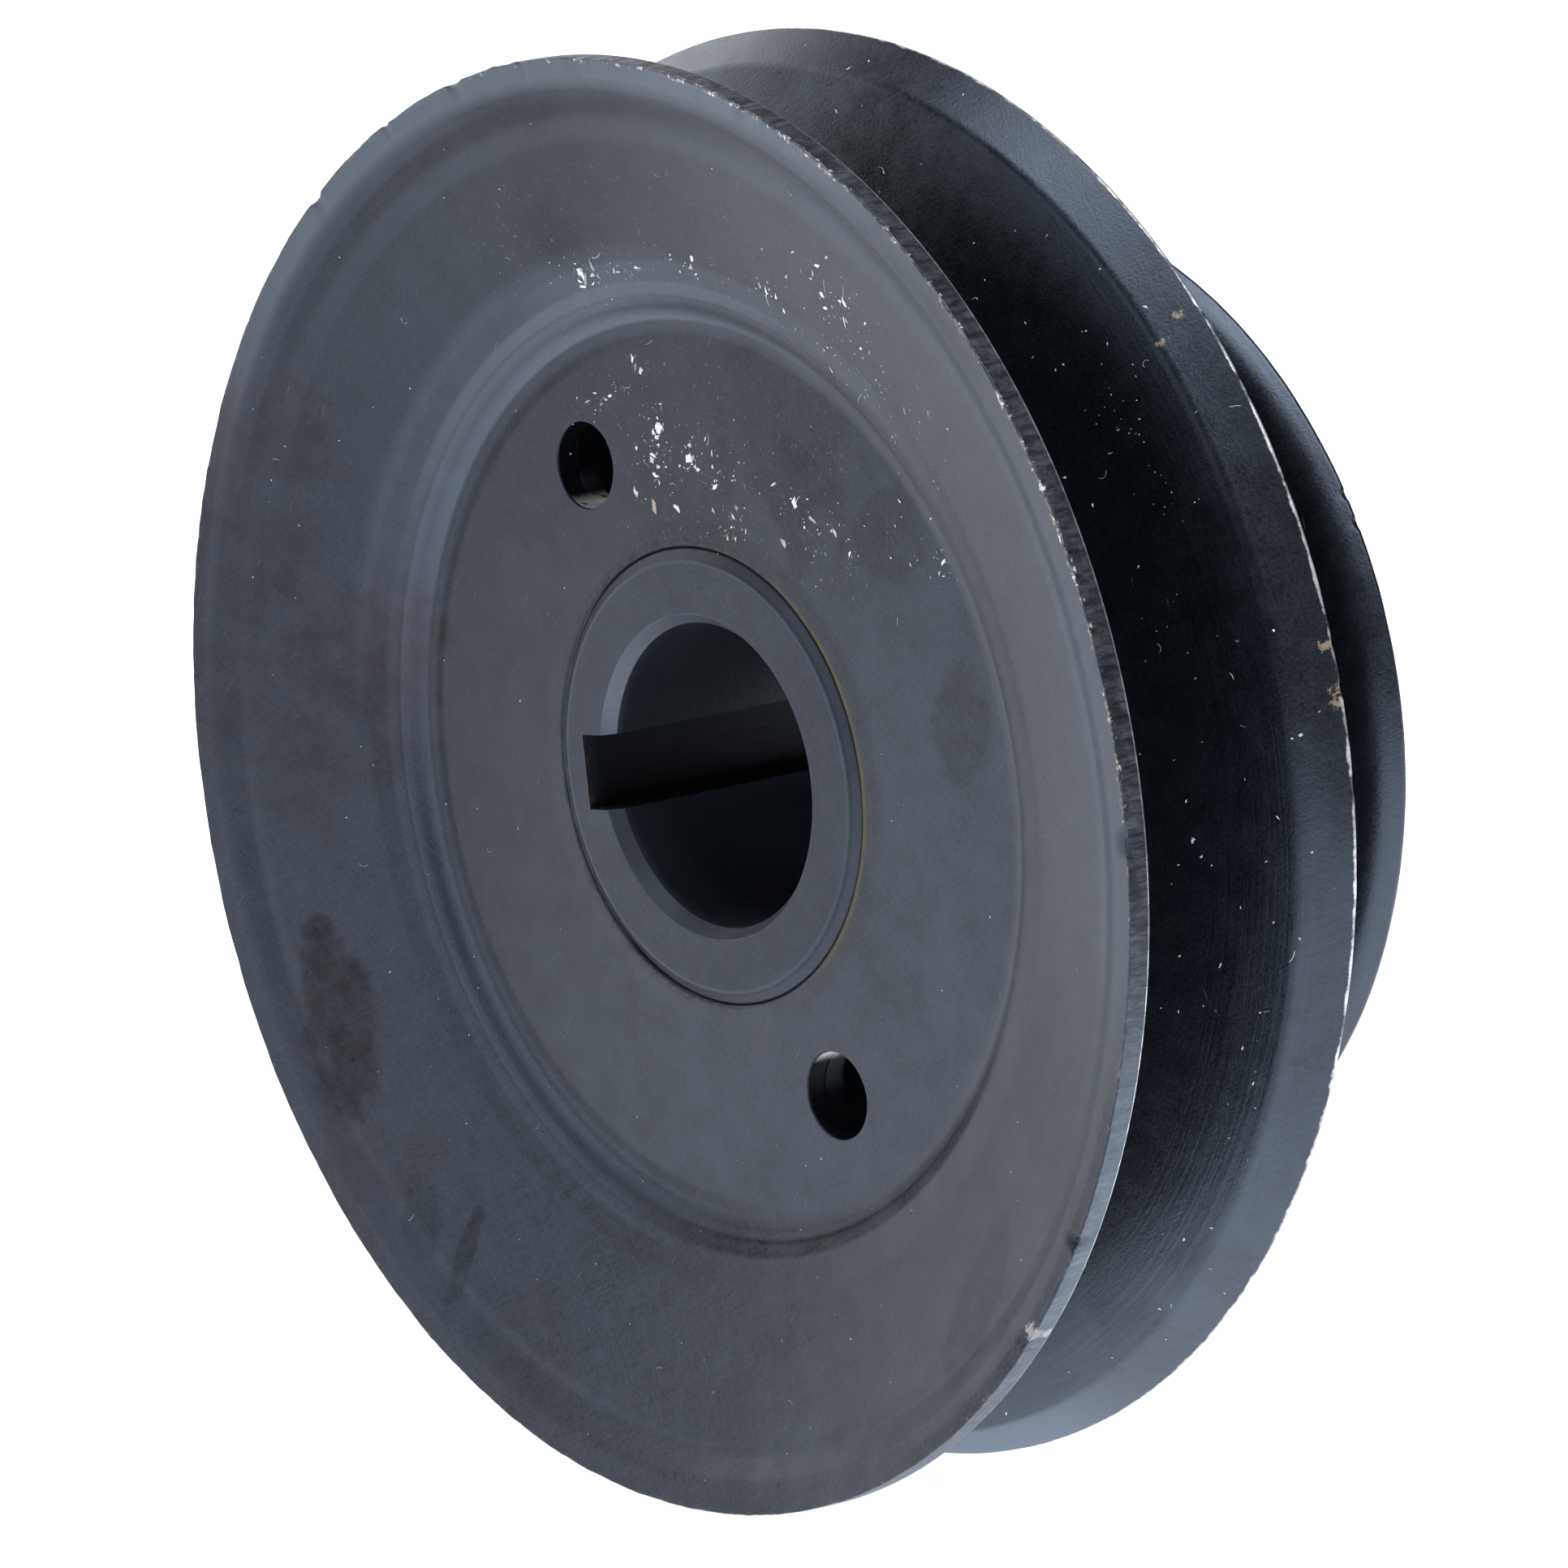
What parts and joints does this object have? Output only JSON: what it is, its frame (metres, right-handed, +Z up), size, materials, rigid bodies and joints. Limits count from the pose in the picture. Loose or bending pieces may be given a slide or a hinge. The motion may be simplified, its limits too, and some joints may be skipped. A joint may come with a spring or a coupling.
{
  "type": "v belt pulley",
  "caption": "Stepped v belt pulley of pressed steel flanges welded on a bored and keyed hub, with a large front groove and a smaller rear groove.",
  "frame": {"origin": "centre of the hub's bore, half way along the hub", "axes": "+Y along the bore from the large front flange towards the small rear flange, +Z up, with the drive holes at 124 and 304 degrees from +X towards +Z and the keyway at 189 degrees"},
  "size_m": [0.1202, 0.0535, 0.1202],
  "materials": {
    "hub_steel": "satin",
    "coated_sheet": "satin",
    "coated_sheet_dark": "satin",
    "weld_metal": "raw",
    "coated_weld": "satin"
  },
  "bodies": {
    "root": {"hub": "hub_steel", "front_flange": "coated_sheet", "middle_flange": "coated_sheet_dark", "inner_flange": "coated_sheet_dark", "rear_flange": "coated_sheet_dark", "front_web_nuggets": "weld_metal", "rear_web_nuggets": "weld_metal", "middle_hub_weld": "coated_weld", "rear_hub_weld": "coated_weld"}
  },
  "joints": []
}
